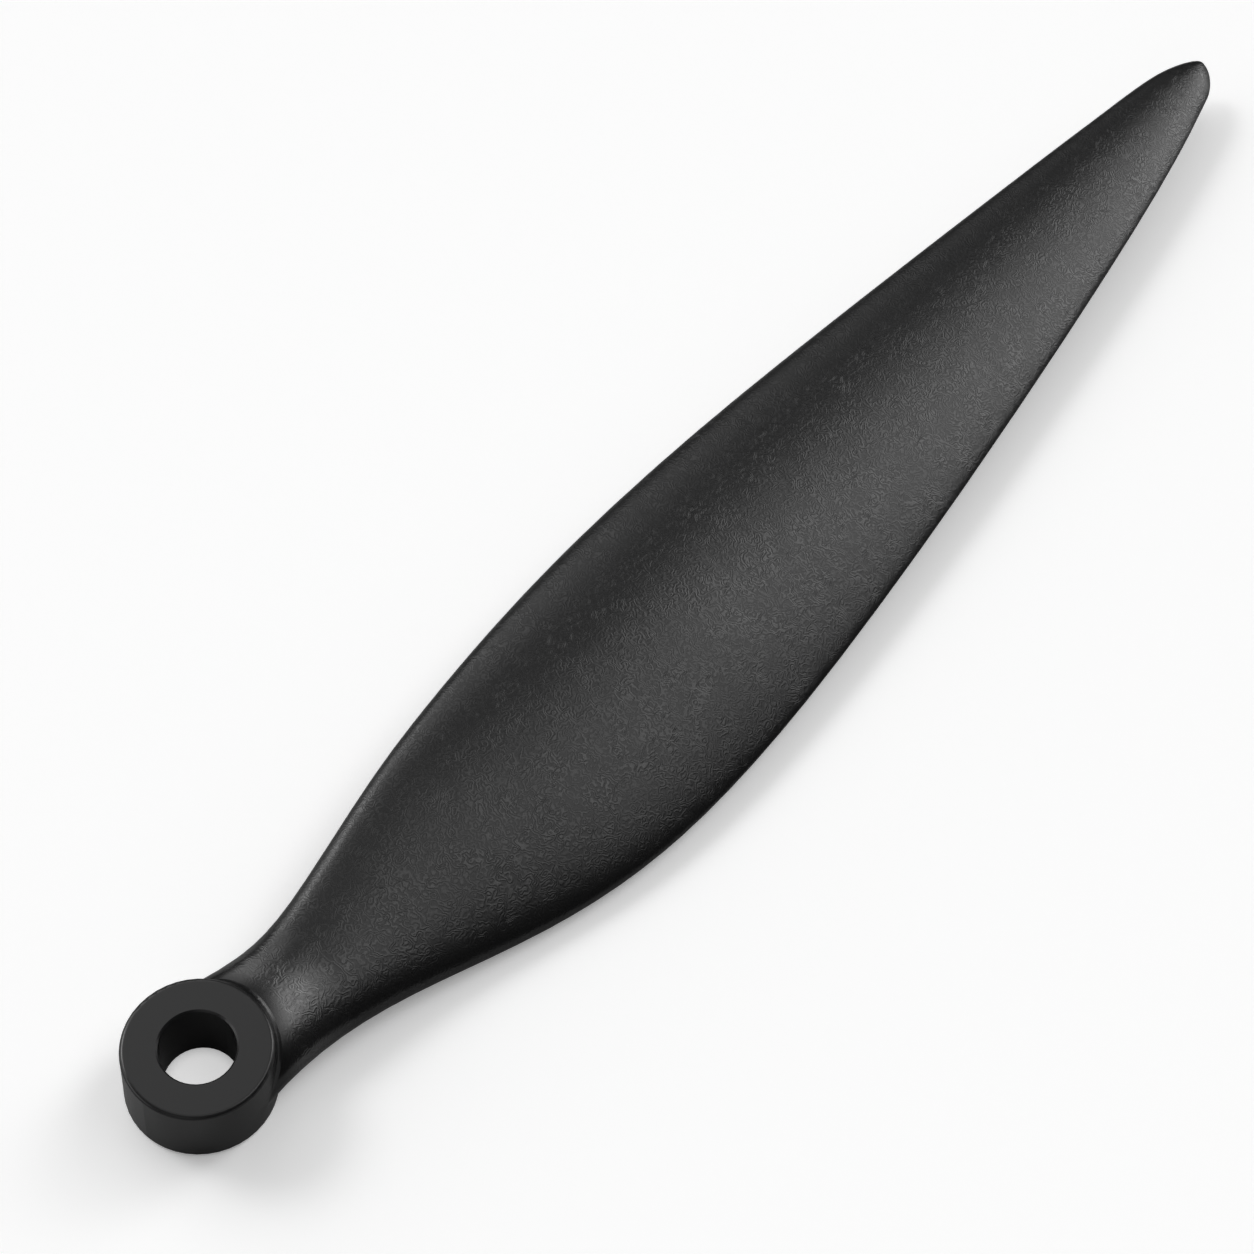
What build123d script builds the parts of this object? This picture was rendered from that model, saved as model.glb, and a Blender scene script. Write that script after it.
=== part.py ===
"""Folding propeller blade, moulded in one piece: pivot boss, neck and twisted blade.

Frame: the origin is on the bore axis at mid height of the boss, X runs along the span to the tip,
Y points to the leading edge and Z is the bore axis, up through the suction side.
All lengths are in millimetres and all angles in degrees.
"""

from build123d import *
import os
from math import atan, comb, cos, degrees, pi, radians, sin, sqrt, tan

# Pivot boss, widest at its bottom face by the draft of its wall
BORE_DIAMETER = 10.0
BORE_EDGE_BREAK = 0.25
BOSS_DIAMETER = 20.0
BOSS_HEIGHT = 11.0
BOSS_DRAFT = 1.0
BOSS_TOP_DIAMETER = BOSS_DIAMETER - 2 * BOSS_HEIGHT * tan(radians(BOSS_DRAFT))
BOSS_TOP_ROUND = 0.6
BOSS_BOTTOM_BREAK = 0.5

# Neck: its narrowest place on the span, its drop below each boss face, its edges and its tilt,
# the start of its flanks inside the boss wall, how much deeper its underside is there, and its
# blend into that wall
NECK_SPAN = 16.0
NECK_STEP = 2.0
NECK_EDGE_RADIUS = 3.2
NECK_ANGLE = 12.0
NECK_ROOT_SPAN = 1.0
NECK_ROOT_INSET = 0.15
NECK_ROOT_DEEPENING = 0.45
NECK_BLEND_RADIUS = 1.0

# Blade: its reach from the bore axis, its twist, and where the neck has become an aerofoil
BLADE_REACH = 236.2
HELIX_PITCH = 140.0
SHAFT_TO_BORE = 25.0
TWIST_START = 6.0
TWIST_FULL = 50.0
AEROFOIL_SPAN = 95.0
NOSE_RADIUS = 0.60
TAIL_RADIUS = 0.35
TIP_THICKNESS = 1.5
LEAD_TIP_ROUND = 11.0
TRAIL_TIP_ROUND = 5.5
TIP_EDGE_ROUND = 0.9
TIP_LAND = 0.02

# Outline seen along the bore axis: share of the way from the neck to the tip, below 0 towards the
# boss, then the offsets of the leading and the trailing edge from the span axis
OUTLINE = [(-0.03, 7.15, 9.60), (0.00, 5.87, 10.40), (0.04, 6.36, 12.48), (0.12, 9.54, 18.60),
           (0.20, 11.97, 23.46), (0.30, 13.78, 25.10), (0.42, 14.25, 23.55), (0.60, 12.18, 18.90),
           (0.80, 8.37, 12.27), (0.90, 6.20, 8.22), (1.00, 3.63, 2.75)]

# Laws of the form: fall of the thickness along the span, the share of the chord behind the leading
# edge that lies level with mid height of the boss, and the shares of the chord or of the crown's
# height that place the inner control points of a section's sides
THICKNESS_FALL = 1.7
NECK_LEVEL_SHARE = 0.50
BLADE_LEVEL_SHARE = 0.68
CAMBER_SHARE = 0.06
CROWN_PLACE = 0.42
CONTROL_PLACES = (0.10, 0.42, 0.75, 0.93)
NECK_FULLNESS = (1.00, 1.00, 1.00)
BLADE_FULLNESS = (1.15, 1.12, 0.75)
CAMBER_FULLNESS = (0.80, 1.20, 0.90)
EDGE_LIMIT = 0.92

# Number of sections lofted through each stretch of the span
ROOT_SECTIONS = 3
BLADE_SECTIONS = 20
TIP_SECTIONS = 6

# How near a rim's radius is to the one looked for
SIZE_TOLERANCE = 0.01


def ramp(value, start, end):
    """Smooth step from 0 at start to 1 at end."""
    share = min(1.0, max(0.0, (value - start) / (end - start)))
    return share * share * (3 - 2 * share)


def between(start, end, share):
    """Value at a share of the way from start to end."""
    return start + (end - start) * share


def closing(distance, length):
    """Factor of a rounded end: 0 at the end itself and 1 from the given length inwards."""
    share = min(1.0, max(0.0, distance / length))
    return sqrt(1 - (1 - share) ** 2)


def outline_curve(column):
    """Curve of one edge of the outline, from inside the boss to the tip before it is rounded."""
    root_radius = (BOSS_DIAMETER + BOSS_TOP_DIAMETER) / 4 - NECK_ROOT_INSET
    root = (NECK_ROOT_SPAN, sqrt(root_radius ** 2 - NECK_ROOT_SPAN ** 2))
    stations = [(between(NECK_SPAN, BLADE_REACH, row[0]), row[column]) for row in OUTLINE]
    return Spline(root, *stations)


LEAD_CURVE = outline_curve(1)
TRAIL_CURVE = outline_curve(2)


def offset_at(curve, span):
    """Offset of an outline curve from the span axis at one place on the span."""
    return curve.intersect(Axis((span, 0, 0), (0, 1, 0)))[0].Y


def edges_at(span):
    """Places of the leading and the trailing edge across the span, drawn together at the tip."""
    lead = offset_at(LEAD_CURVE, span)
    trail = -offset_at(TRAIL_CURVE, span)
    tip = (offset_at(LEAD_CURVE, BLADE_REACH) - offset_at(TRAIL_CURVE, BLADE_REACH)) / 2
    to_tip = BLADE_REACH - span
    return (between(tip, lead, closing(to_tip, LEAD_TIP_ROUND)),
            between(tip, trail, closing(to_tip, TRAIL_TIP_ROUND)))


def pitch_angle(span):
    """Angle of the chord: a helix about the hub's shaft, eased to the neck's own angle."""
    helix = degrees(atan(HELIX_PITCH / (2 * pi * (span + SHAFT_TO_BORE))))
    return between(NECK_ANGLE, helix, ramp(span, TWIST_START, TWIST_FULL))


def half_thickness(span):
    """Half the thickness of the section, rounded off at the very tip."""
    neck = BOSS_HEIGHT - 2 * NECK_STEP
    to_tip = 1 - (span - NECK_SPAN) / (BLADE_REACH - NECK_SPAN)
    thickness = between(TIP_THICKNESS, neck, to_tip ** THICKNESS_FALL)
    return thickness / 2 * closing(BLADE_REACH - span, TIP_EDGE_ROUND)


def edge_radius(blade_radius, span):
    """Radius of an edge of the section: large at the neck and fine on the blade."""
    to_blade = ramp(span, NECK_SPAN, AEROFOIL_SPAN)
    closed = closing(BLADE_REACH - span, TIP_EDGE_ROUND)
    radius = between(NECK_EDGE_RADIUS, blade_radius, to_blade) * closed
    return min(radius, EDGE_LIMIT * half_thickness(span)) * closed


def side_heights(span, chord):
    """Heights over the camber line of the eight control points of a side, from nose to tail."""
    to_blade = ramp(span, NECK_SPAN, AEROFOIL_SPAN)
    fullness = [between(n, b, to_blade) for n, b in zip(NECK_FULLNESS, BLADE_FULLNESS)]
    degree = len(fullness) + 4
    nose_run = CONTROL_PLACES[0] * chord
    tail_run = (1 - CONTROL_PLACES[-1]) * chord
    tail = edge_radius(TAIL_RADIUS, span)
    nose_rise = sqrt(edge_radius(NOSE_RADIUS, span) * nose_run * (degree - 1) / degree)
    tail_rise = sqrt(tail * tail_run * (degree - 1) / degree)
    weights = [comb(degree, i) * CROWN_PLACE ** i * (1 - CROWN_PLACE) ** (degree - i)
               for i in range(degree + 1)]
    by_edges = weights[1] * nose_rise + weights[-3] * tail + weights[-2] * tail_rise
    by_crown = sum(w * f for w, f in zip(weights[2:-3], fullness))
    crown = (half_thickness(span) - by_edges) / by_crown
    return [0, nose_rise, *[crown * f for f in fullness], tail, tail_rise, 0]


def section(span):
    """Closed wire of the section at one place on the span: upper side and lower side."""
    lead, trail = edges_at(span)
    angle = radians(pitch_angle(span))
    chord = (lead - trail) / cos(angle)
    level_share = between(NECK_LEVEL_SHARE, BLADE_LEVEL_SHARE, ramp(span, TWIST_START, AEROFOIL_SPAN))
    lead_rise = (lead - trail) * level_share * tan(angle)
    heights = side_heights(span, chord)
    camber = CAMBER_SHARE * ramp(span, NECK_SPAN, AEROFOIL_SPAN) * chord
    lifts = [0, 0, *[camber * f for f in CAMBER_FULLNESS], 0, 0, 0]
    places = [0, 0, *[chord * p for p in CONTROL_PLACES], chord, chord]

    def point(along, height):
        """Point of the section from its place along the chord and its height over the chord."""
        across = lead - along * cos(angle) - height * sin(angle)
        up = lead_rise - along * sin(angle) + height * cos(angle)
        return Vector(span, across, up)

    upper = [point(p, lift + h) for p, lift, h in zip(places, lifts, heights)]
    deepening = between(NECK_ROOT_DEEPENING, 0, ramp(span, NECK_ROOT_SPAN, NECK_SPAN))
    deeper = 1 + deepening / half_thickness(span)
    lower = [point(p, lift - h * deeper) for p, lift, h in zip(places, lifts, heights)]
    lower.reverse()
    return Wire([Edge.make_bezier(*upper), Edge.make_bezier(*lower)])


def section_spans():
    """Places of the sections: even along the neck and the blade, closer together towards the tip."""
    tip_start = BLADE_REACH - LEAD_TIP_ROUND
    root = [between(NECK_ROOT_SPAN, NECK_SPAN, i / ROOT_SECTIONS) for i in range(ROOT_SECTIONS)]
    blade = [between(NECK_SPAN, tip_start, i / BLADE_SECTIONS) for i in range(BLADE_SECTIONS)]
    tip = [BLADE_REACH - LEAD_TIP_ROUND * (1 - i / TIP_SECTIONS) ** 2 for i in range(TIP_SECTIONS)]
    return [*root, *blade, *tip, BLADE_REACH - TIP_LAND]


def rims(shape, diameter):
    """Circular edges of one diameter about the bore axis, from the lowest to the highest."""
    rings = shape.edges().filter_by(GeomType.CIRCLE)
    same = rings.filter_by(lambda ring: abs(ring.radius - diameter / 2) < SIZE_TOLERANCE)
    return same.group_by(Axis.Z)


def boss_and_blade():
    """Boss with its draft and the lofted blade in one, with the blend round the neck."""
    boss = Cone(BOSS_DIAMETER / 2, BOSS_TOP_DIAMETER / 2, BOSS_HEIGHT, rotation=(0, 0, 180))
    blade = Solid.make_loft([section(span) for span in section_spans()])
    shape = boss + blade
    wall = shape.faces().filter_by(GeomType.CONE)[0]
    return fillet(wall.edges().filter_by(GeomType.BSPLINE), NECK_BLEND_RADIUS)


def propeller_blade():
    """Whole moulding: rounded top rim, broken bottom rim, then the bore with its broken edges."""
    shape = boss_and_blade()
    shape = fillet(rims(shape, BOSS_TOP_DIAMETER)[-1], BOSS_TOP_ROUND)
    shape = chamfer(rims(shape, BOSS_DIAMETER)[0], BOSS_BOTTOM_BREAK)
    shape -= Cylinder(BORE_DIAMETER / 2, BOSS_HEIGHT)
    bore_rims = rims(shape, BORE_DIAMETER)
    return chamfer([*bore_rims[0], *bore_rims[-1]], BORE_EDGE_BREAK)


if __name__ == "__main__":
    os.makedirs("parts", exist_ok=True)
    export_step(propeller_blade(), "parts/propeller_blade.step")
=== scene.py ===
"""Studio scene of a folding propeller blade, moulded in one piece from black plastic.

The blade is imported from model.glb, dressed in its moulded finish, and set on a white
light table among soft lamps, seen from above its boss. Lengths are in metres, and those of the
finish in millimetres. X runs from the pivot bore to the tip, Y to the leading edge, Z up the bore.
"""

import logging
import math
from dataclasses import dataclass
from enum import Enum
from typing import Any, Dict, List, Mapping, Optional, Tuple, Union

import bpy
from mathutils import Matrix, Vector


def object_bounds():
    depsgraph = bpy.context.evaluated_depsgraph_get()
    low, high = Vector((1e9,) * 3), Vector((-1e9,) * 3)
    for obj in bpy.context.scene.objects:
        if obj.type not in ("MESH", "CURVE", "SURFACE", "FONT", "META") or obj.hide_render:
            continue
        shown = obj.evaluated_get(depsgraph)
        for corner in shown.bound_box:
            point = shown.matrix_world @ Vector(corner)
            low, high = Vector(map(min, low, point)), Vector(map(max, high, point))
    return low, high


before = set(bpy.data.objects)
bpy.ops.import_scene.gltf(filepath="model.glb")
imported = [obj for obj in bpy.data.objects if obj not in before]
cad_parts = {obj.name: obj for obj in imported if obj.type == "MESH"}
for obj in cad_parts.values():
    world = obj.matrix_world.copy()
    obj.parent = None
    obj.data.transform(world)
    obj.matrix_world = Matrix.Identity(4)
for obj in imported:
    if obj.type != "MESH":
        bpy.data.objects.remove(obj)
CAD_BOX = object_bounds()

BLADE_NODE = "propeller_blade"
MILLIMETRES = 1000.0
LOG = logging.getLogger("propeller_blade")

Colour = Tuple[float, float, float]
Point = Tuple[float, float, float]
Stretch = Tuple[float, float]
Value = Union[float, "Socket"]


class Maths(Enum):
    """Math node operations that the shader expressions use."""

    ADD = "ADD"
    SUBTRACT = "SUBTRACT"
    MULTIPLY = "MULTIPLY"
    SINE = "SINE"
    SQUARE_ROOT = "SQRT"


class Socket:
    """Output socket of a shader node that takes part in Python arithmetic."""

    def __init__(self, tree: "ShaderTree", output: bpy.types.NodeSocket) -> None:
        """Keep the node tree and the socket that gives the value."""
        self.tree = tree
        self.output = output

    def __add__(self, other: Value) -> "Socket":
        """Sum."""
        return self.tree.maths(Maths.ADD, self, other)

    def __radd__(self, other: Value) -> "Socket":
        """Sum with the socket on the right."""
        return self.tree.maths(Maths.ADD, other, self)

    def __sub__(self, other: Value) -> "Socket":
        """Difference."""
        return self.tree.maths(Maths.SUBTRACT, self, other)

    def __rsub__(self, other: Value) -> "Socket":
        """Difference with the socket on the right."""
        return self.tree.maths(Maths.SUBTRACT, other, self)

    def __mul__(self, other: Value) -> "Socket":
        """Product."""
        return self.tree.maths(Maths.MULTIPLY, self, other)

    def __rmul__(self, other: Value) -> "Socket":
        """Product with the socket on the right."""
        return self.tree.maths(Maths.MULTIPLY, other, self)

    def sine(self) -> "Socket":
        """Sine of an angle in radians."""
        return self.tree.maths(Maths.SINE, self)

    def root(self) -> "Socket":
        """Square root."""
        return self.tree.maths(Maths.SQUARE_ROOT, self)


class ShaderTree:
    """Node tree of a material or of the world, emptied and ready to be written."""

    def __init__(self, tree: bpy.types.NodeTree) -> None:
        """Empty the tree and keep it."""
        self.tree = tree
        self.tree.nodes.clear()

    def node(self, kind: str, settings: Optional[Mapping[str, Any]] = None,
             inputs: Optional[Mapping[Union[str, int], Any]] = None) -> bpy.types.Node:
        """Add a node, set its options, then fill its sockets.

        Args:
            kind: Blender's name of the node type.
            settings: Options by name.
            inputs: Values or links of the sockets, by name or by place.

        Returns:
            The new node.
        """
        made = self.tree.nodes.new(kind)
        for name, value in (settings or {}).items():
            setattr(made, name, value)
        for name, value in (inputs or {}).items():
            if isinstance(value, Socket):
                self.tree.links.new(value.output, made.inputs[name])
            elif isinstance(value, bpy.types.NodeSocket):
                self.tree.links.new(value, made.inputs[name])
            else:
                made.inputs[name].default_value = value
        return made

    def maths(self, operation: Maths, *values: Value) -> Socket:
        """Result of a Math node on one or two values."""
        made = self.node("ShaderNodeMath", {"operation": operation.value}, dict(enumerate(values)))
        return Socket(self, made.outputs[0])

    def smooth(self, value: Socket, start: float, end: float) -> Socket:
        """Smooth step from 0 at start to 1 at end.

        Args:
            value: Value that is stepped.
            start: Value at which the step is still 0.
            end: Value from which the step is 1.

        Returns:
            The step.
        """
        made = self.node("ShaderNodeMapRange", {"interpolation_type": "SMOOTHSTEP"},
                         {"Value": value, "From Min": start, "From Max": end})
        return Socket(self, made.outputs[0])

    def noise(self, place: bpy.types.NodeSocket, size: float, detail: float = 1.0) -> Socket:
        """Soft noise from about 0 to about 1.

        Args:
            place: Position that the noise is read at, in millimetres.
            size: Size of its lumps in millimetres.
            detail: Octaves added to the first.

        Returns:
            The noise.
        """
        made = self.node("ShaderNodeTexNoise", {},
                         {"Vector": place, "Scale": 1.0 / size, "Detail": detail})
        return Socket(self, made.outputs[0])

    def mix(self, share: Socket, first: Colour, second: Colour) -> bpy.types.NodeSocket:
        """Blend of two colours.

        Args:
            share: Share of the second colour.
            first: Colour at a share of 0.
            second: Colour at a share of 1.

        Returns:
            Colour socket.
        """
        made = self.node("ShaderNodeMix", {"data_type": "RGBA"},
                         {0: share, 6: (*first, 1.0), 7: (*second, 1.0)})
        return made.outputs[2]

    def grey(self, level: Socket) -> bpy.types.NodeSocket:
        """Grey colour of one level."""
        made = self.node("ShaderNodeCombineColor", {}, {0: level, 1: level, 2: level})
        return made.outputs[0]

    def by_camera(self) -> Socket:
        """1 on a ray from the camera, and 0 on any other."""
        path = self.node("ShaderNodeLightPath")
        return Socket(self, path.outputs["Is Camera Ray"])


@dataclass(frozen=True)
class MouldedPlastic:
    """Black fibre-filled plastic: a grained blade, a shinier neck, and a smooth boss.

    Radii are measured from the bore axis, and heights from mid height of the boss.
    """

    name: str = "blade_plastic"
    colour: Colour = (0.0090, 0.0090, 0.0092)
    # painted reflection: a lighter colour on the boss's top face stands in for a brighter reflection
    # there
    face_painted_reflection_colour: Colour = (0.0170, 0.0170, 0.0172)
    face_painted_reflection_heights: Stretch = (5.1, 5.4)
    ior: float = 1.46
    blade_roughness: float = 0.30
    boss_roughness: float = 0.25
    roughness_drift: float = 0.05
    drift_size: float = 12.8
    drift_detail: float = 2.0
    neck_rise: float = 1.0
    rise_radii: Stretch = (10.0, 21.0)
    polish_ior: float = 1.95
    polish_roughness: float = 0.24
    polish_radii: Stretch = (11.0, 22.0)
    neck_polish: float = 0.9
    ridge_polish: float = 0.28
    grain_radii: Stretch = (10.3, 13.5)
    wrinkle_spacing: float = 0.42
    wrinkle_run: float = 0.4
    wrinkle_wander: float = 14.0
    wrinkle_depth: float = 0.0075
    wander_size: float = 1.4
    patch_size: float = 3.2
    patch_levels: Stretch = (0.30, 0.70)
    calm_share: float = 0.45
    speckle_size: float = 0.16
    speckle_depth: float = 0.0006

    def material(self) -> bpy.types.Material:
        """Write the material.

        Returns:
            Material for the blade's slots.
        """
        made = bpy.data.materials.new(self.name)
        made.use_nodes = True
        tree = ShaderTree(made.node_tree)
        place = self._place(tree)
        along, across, up = self._parts(tree, place)
        from_axis = (along * along + across * across).root()
        on_blade = tree.smooth(from_axis, *self.grain_radii)
        wrinkles, patches = self._wrinkles(tree, place, along)
        grained = on_blade * patches
        polish = on_blade * (1.0 - tree.smooth(from_axis, *self.polish_radii))
        ridges = grained * tree.smooth(wrinkles, 0.0, 1.0)
        skin = {
            "Base Color": self._colour_with_painted_reflection(tree, on_blade, up),
            "Normal": self._normal(tree, place, from_axis, grained * wrinkles),
        }
        bare = tree.node("ShaderNodeBsdfPrincipled", {}, {
            **skin,
            "Roughness": self._roughness(tree, place, on_blade),
            "IOR": self.ior,
        })
        polished = tree.node("ShaderNodeBsdfPrincipled", {}, {
            **skin,
            "Roughness": self.polish_roughness,
            "IOR": self.polish_ior,
        })
        shader = tree.node("ShaderNodeMixShader", {}, {
            0: polish * self.neck_polish + ridges * self.ridge_polish,
            1: bare.outputs[0],
            2: polished.outputs[0],
        })
        tree.node("ShaderNodeOutputMaterial", {}, {"Surface": shader.outputs[0]})
        return made

    @staticmethod
    def _place(tree: ShaderTree) -> bpy.types.NodeSocket:
        """Position on the piece.

        Args:
            tree: Tree of the material.

        Returns:
            Vector socket of the position in millimetres.
        """
        coordinates = tree.node("ShaderNodeTexCoord")
        scaled = tree.node("ShaderNodeVectorMath", {"operation": "SCALE"},
                           {0: coordinates.outputs["Object"], "Scale": MILLIMETRES})
        return scaled.outputs[0]

    @staticmethod
    def _parts(tree: ShaderTree, place: bpy.types.NodeSocket) -> Tuple[Socket, Socket, Socket]:
        """Parts of a position.

        Args:
            tree: Tree of the material.
            place: Position in millimetres.

        Returns:
            Places along the span, across it and up the bore axis.
        """
        parts = tree.node("ShaderNodeSeparateXYZ", {}, {0: place})
        along, across, up = (Socket(tree, output) for output in parts.outputs)
        return along, across, up

    def _wrinkles(self, tree: ShaderTree, place: bpy.types.NodeSocket,
                  along: Socket) -> Tuple[Socket, Socket]:
        """Fine wandering wrinkles of the mould grain, deeper in some patches than in others.

        Args:
            tree: Tree of the material.
            place: Position in millimetres.
            along: Place along the span.

        Returns:
            Height of the wrinkles from -1 to 1, and the share of their depth that a patch has.
        """
        wander = tree.noise(place, self.wander_size)
        turn = 2 * math.pi / self.wrinkle_spacing
        lines = (along * (self.wrinkle_run * turn) + wander * (self.wrinkle_wander * math.pi)).sine()
        patches = tree.smooth(tree.noise(place, self.patch_size), *self.patch_levels)
        return lines, self.calm_share + (1.0 - self.calm_share) * patches

    def _colour_with_painted_reflection(self, tree: ShaderTree, on_blade: Socket, up: Socket) -> bpy.types.NodeSocket:
        """Colour of the plastic, lightened on the boss's top face as a painted reflection."""
        # painted reflection: the top face of the boss is blended towards a lighter colour
        painted_reflection_share = (1.0 - on_blade) * tree.smooth(up, *self.face_painted_reflection_heights)
        return tree.mix(painted_reflection_share, self.colour, self.face_painted_reflection_colour)

    def _roughness(self, tree: ShaderTree, place: bpy.types.NodeSocket, on_blade: Socket) -> Socket:
        """Roughness of the plastic, which drifts a little from place to place.

        Args:
            tree: Tree of the material.
            place: Position in millimetres.
            on_blade: 0 on the boss and 1 on the blade.

        Returns:
            The roughness.
        """
        plain = self.boss_roughness + (self.blade_roughness - self.boss_roughness) * on_blade
        drift = tree.noise(place, self.drift_size, self.drift_detail) - 0.5
        return plain + drift * self.roughness_drift

    def _normal(self, tree: ShaderTree, place: bpy.types.NodeSocket, from_axis: Socket,
                grain: Socket) -> bpy.types.NodeSocket:
        """Bump of the grain, of a fine speckle, and of the neck's soft rise towards the boss.

        Args:
            tree: Tree of the material.
            place: Position in millimetres.
            from_axis: Distance from the bore axis.
            grain: Height of the grain from -1 to 1.

        Returns:
            Normal socket.
        """
        speckle = tree.noise(place, self.speckle_size)
        fall = tree.smooth(from_axis, *self.rise_radii)
        height = grain * self.wrinkle_depth + speckle * self.speckle_depth - fall * self.neck_rise
        bump = tree.node("ShaderNodeBump", {},
                         {"Strength": 1.0, "Distance": 1.0 / MILLIMETRES, "Height": height})
        return bump.outputs[0]


@dataclass(frozen=True)
class FloorPaint:
    """White light table: it keeps the shadow, and its own glow is seen by the camera alone.

    Under the bore a painted pool of light is added to the glow, within radii in millimetres.
    """

    name: str = "floor_paint"
    seen: float = 0.99
    bounced: float = 0.42
    glow: float = 0.24
    # painted pool of light on the floor under the bore, seen by the camera alone
    bore_painted_pool: float = 0.32
    bore_painted_pool_radii: Stretch = (3.5, 6.5)

    def material(self) -> bpy.types.Material:
        """Write the material.

        Returns:
            Material for the floor.
        """
        made = bpy.data.materials.new(self.name)
        made.use_nodes = True
        tree = ShaderTree(made.node_tree)
        by_camera = tree.by_camera()
        level = self.bounced + (self.seen - self.bounced) * by_camera
        paint = tree.node("ShaderNodeBsdfDiffuse", {}, {"Color": tree.grey(level)})
        # even glow of the floor, plus the painted pool of light under the bore
        strength = (self.glow + self.bore_painted_pool * (1.0 - self._beside_bore(tree))) * by_camera
        glow = tree.node("ShaderNodeEmission", {}, {"Color": tree.grey(strength), "Strength": 1.0})
        both = tree.node("ShaderNodeAddShader", {}, {0: paint.outputs[0], 1: glow.outputs[0]})
        tree.node("ShaderNodeOutputMaterial", {}, {"Surface": both.outputs[0]})
        return made

    def _beside_bore(self, tree: ShaderTree) -> Socket:
        """Step from 0 under the bore to 1 beside it.

        Args:
            tree: Tree of the material.

        Returns:
            The step.
        """
        coordinates = tree.node("ShaderNodeTexCoord")
        length = tree.node("ShaderNodeVectorMath", {"operation": "LENGTH"},
                           {0: coordinates.outputs["Object"]})
        from_bore = Socket(tree, length.outputs["Value"]) * MILLIMETRES
        return tree.smooth(from_bore, *self.bore_painted_pool_radii)


@dataclass
class Blade:
    """The moulded blade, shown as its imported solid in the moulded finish."""

    node: str = BLADE_NODE
    finish: MouldedPlastic = MouldedPlastic()

    def dress(self) -> bpy.types.Object:
        """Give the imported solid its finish.

        Returns:
            The dressed piece.
        """
        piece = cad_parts[self.node]
        material = self.finish.material()
        if not piece.material_slots:
            piece.data.materials.append(material)
        for slot in piece.material_slots:
            slot.material = material
        return piece


@dataclass(frozen=True)
class SoftLamp:
    """Round lamp far from the object, even over its core and fading to its rim.

    Azimuth is counted from X towards Y, and core and rim are angles from the lamp's middle, all in
    degrees.
    """

    name: str
    azimuth: float
    elevation: float
    core: float
    rim: float
    radiance: float

    def light(self, tree: ShaderTree, direction: bpy.types.NodeSocket) -> Socket:
        """Light that comes from the lamp along a direction.

        Args:
            tree: Tree of the world.
            direction: Direction that is looked along.

        Returns:
            Radiance along it.
        """
        azimuth = math.radians(self.azimuth)
        elevation = math.radians(self.elevation)
        middle = (math.cos(elevation) * math.cos(azimuth),
                  math.cos(elevation) * math.sin(azimuth), math.sin(elevation))
        made = tree.node("ShaderNodeVectorMath", {"operation": "DOT_PRODUCT", "label": self.name},
                         {0: direction, 1: middle})
        nearness = Socket(tree, made.outputs["Value"])
        return tree.smooth(nearness, math.cos(math.radians(self.rim)),
                           math.cos(math.radians(self.core))) * self.radiance


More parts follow.
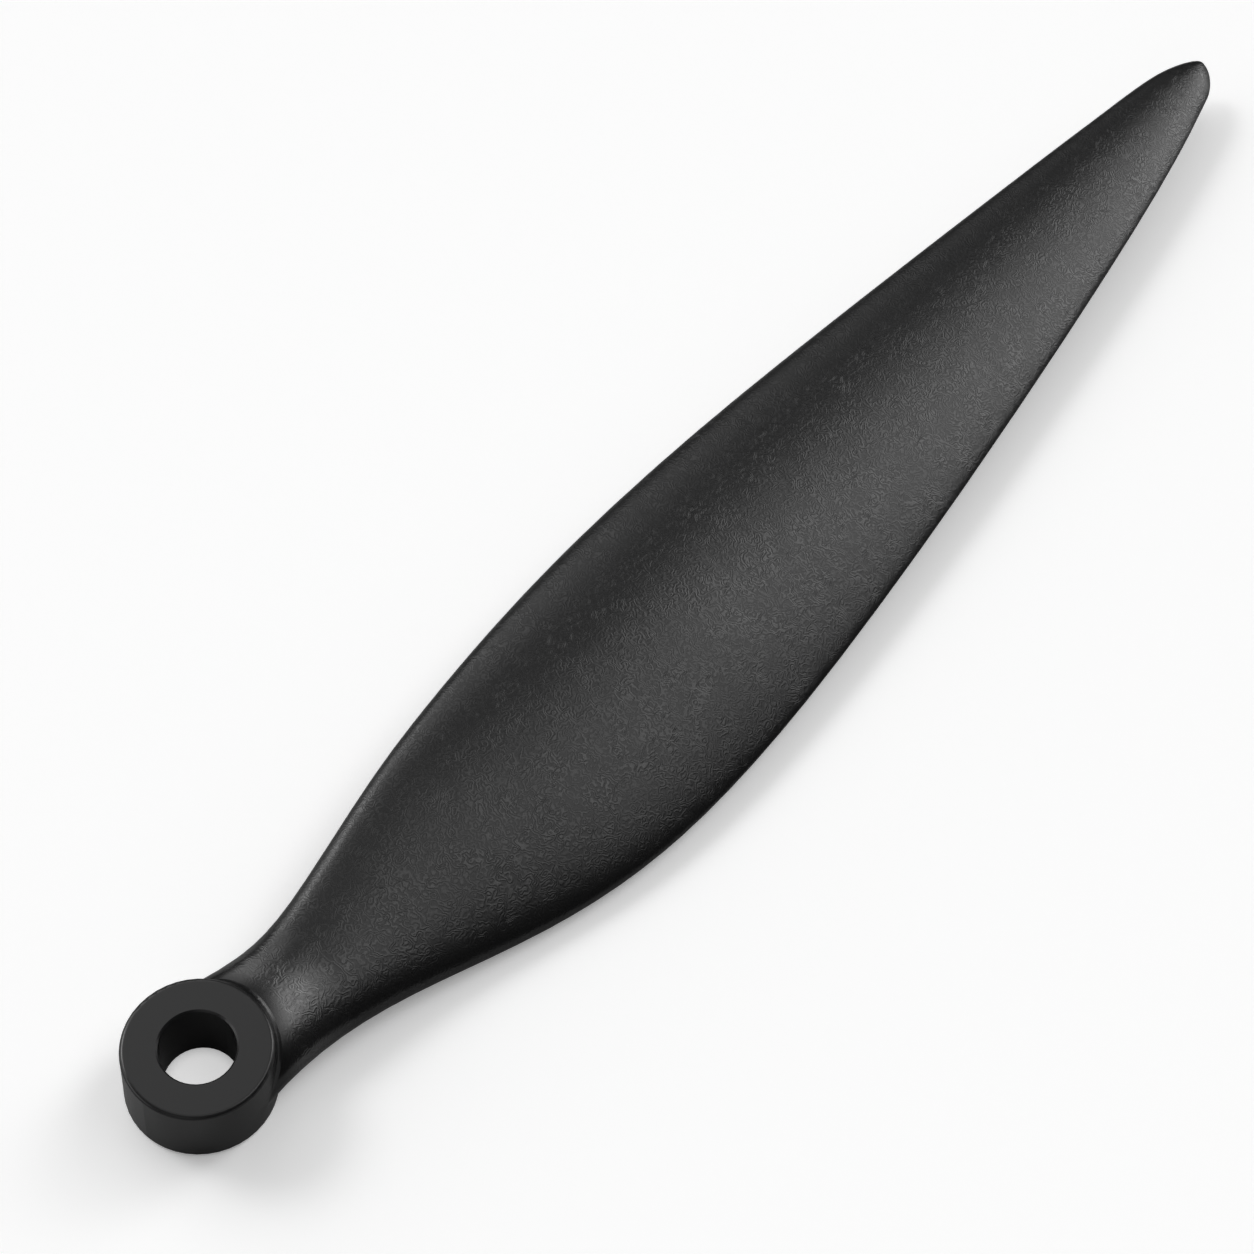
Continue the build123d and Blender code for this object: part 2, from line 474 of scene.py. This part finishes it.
@dataclass
class Studio:
    """Floor, lamps, surroundings and camera. Each lamp's row holds its values in SoftLamp's order."""

    floor_size: float = 6.0
    floor_gap: float = 0.00002
    floor_paint: FloorPaint = FloorPaint()
    aim: Point = (0.0881, 0.0014, 0.0)
    camera_distance: float = 0.4231
    camera_azimuth: float = -56.3
    camera_elevation: float = 56.45
    camera_roll: float = 6.55
    focal_length: float = 86.12
    sensor_width: float = 36.0
    nearest_seen: float = 0.01
    lamps: Tuple[SoftLamp, ...] = (
        SoftLamp("strip_top", -58.0, 64.0, 3.0, 15.0, 1.3),
        SoftLamp("strip_middle", -28.0, 55.0, 5.0, 18.0, 1.4),
        SoftLamp("strip_bottom", -8.0, 44.0, 5.0, 18.0, 1.8),
        SoftLamp("strip_end", -10.0, 33.0, 3.0, 14.0, 3.5),
        SoftLamp("side_lamp", 100.0, 40.0, 3.0, 14.0, 8.0),
        SoftLamp("ceiling", 0.0, 90.0, 4.0, 28.0, 0.65),
        SoftLamp("rear_panel", 62.0, 46.0, 4.0, 30.0, 1.2),
        SoftLamp("rear_wall", 80.0, 30.0, 4.0, 20.0, 1.35),
        SoftLamp("left_wall", 112.0, 6.0, 8.0, 40.0, 1.3),
        SoftLamp("left_corner", 150.0, 12.0, 4.0, 25.0, 1.0),
        SoftLamp("right_wall", -20.0, 10.0, 4.0, 25.0, 1.0),
        SoftLamp("front_panel", 202.0, 27.0, 4.0, 30.0, 0.3),
    )
    surroundings_level: float = 0.02

    def build(self) -> None:
        """Make all of the studio."""
        self._floor()
        self._world()
        self._camera()
        bpy.context.scene.view_settings.view_transform = "Standard"

    def _floor(self) -> None:
        """Add the floor under the lowest point of the object."""
        bpy.ops.object.select_all(action="DESELECT")
        height = CAD_BOX[0].z - self.floor_gap
        bpy.ops.mesh.primitive_plane_add(size=self.floor_size, location=(0, 0, height))
        floor = bpy.context.active_object
        floor.name = "studio_floor"
        floor.data.materials.append(self.floor_paint.material())

    def _world(self) -> None:
        """Light the surroundings with the soft lamps, and show them white to the camera."""
        world = bpy.data.worlds.new("surroundings")
        world.use_nodes = True
        bpy.context.scene.world = world
        tree = ShaderTree(world.node_tree)
        direction = tree.node("ShaderNodeTexCoord").outputs["Generated"]
        light: Value = self.surroundings_level
        for lamp in self.lamps:
            light = light + lamp.light(tree, direction)
        level = light + (1.0 - light) * tree.by_camera()
        shader = tree.node("ShaderNodeBackground", {}, {"Color": tree.grey(level), "Strength": 1.0})
        tree.node("ShaderNodeOutputWorld", {}, {"Surface": shader.outputs[0]})

    def _camera(self) -> None:
        """Add the camera at the photograph's viewing angle."""
        azimuth = math.radians(self.camera_azimuth)
        elevation = math.radians(self.camera_elevation)
        back = Vector((math.sin(azimuth) * math.cos(elevation),
                       -math.cos(azimuth) * math.cos(elevation), math.sin(elevation)))
        level = Vector((math.cos(azimuth), math.sin(azimuth), 0.0))
        right = Matrix.Rotation(math.radians(self.camera_roll), 3, back) @ level
        up = back.cross(right)
        data = bpy.data.cameras.new("camera")
        data.lens = self.focal_length
        data.sensor_width = self.sensor_width
        data.clip_start = self.nearest_seen
        camera = bpy.data.objects.new("camera", data)
        bpy.context.scene.collection.objects.link(camera)
        camera.matrix_world = (Matrix.Translation(Vector(self.aim) + back * self.camera_distance)
                               @ Matrix((right, up, back)).transposed().to_4x4())
        bpy.context.scene.camera = camera


def main() -> None:
    """Build the scene and report each piece."""
    logging.basicConfig(level=logging.INFO)
    piece = Blade().dress()
    LOG.info("%s dressed, %d faces", piece.name, len(piece.data.polygons))
    Studio().build()
    LOG.info("studio ready, camera %s", bpy.context.scene.camera.name)


if __name__ == "__main__":
    main()
